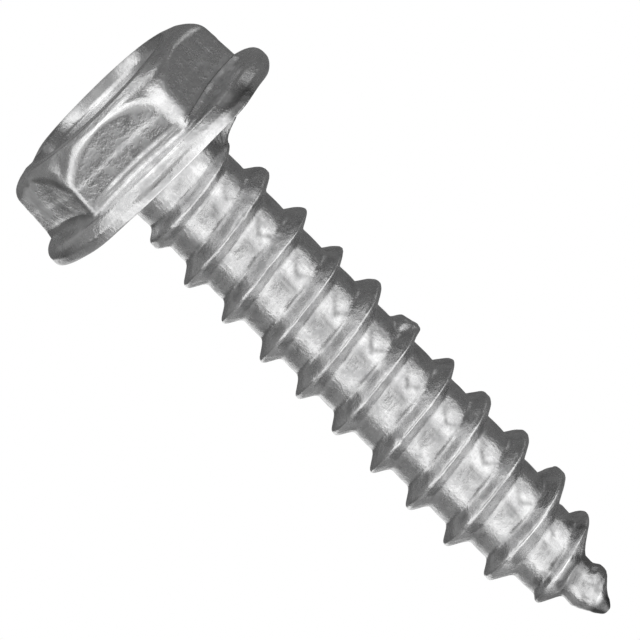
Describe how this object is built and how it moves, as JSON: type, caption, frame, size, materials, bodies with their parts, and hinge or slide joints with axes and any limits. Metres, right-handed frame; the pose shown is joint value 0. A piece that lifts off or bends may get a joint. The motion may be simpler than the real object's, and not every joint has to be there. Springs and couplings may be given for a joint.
{
  "type": "sheet metal screw",
  "caption": "Hex washer head sheet metal screw with a coarse spaced thread and a gimlet point, for fastening thin sheet or wood.",
  "frame": {"origin": "centre of the head's flat top ring, which the screw stands on", "axes": "+Z along the screw's axis from the head to the point; one flat of the hexagon faces 38.5 degrees from +X"},
  "size_m": [0.009, 0.009, 0.0218],
  "materials": {
    "zinc_plate": "bright zinc electroplate over cold headed steel, lightly marked by handling"
  },
  "bodies": {
    "root": {"screw": "zinc_plate"}
  },
  "joints": []
}
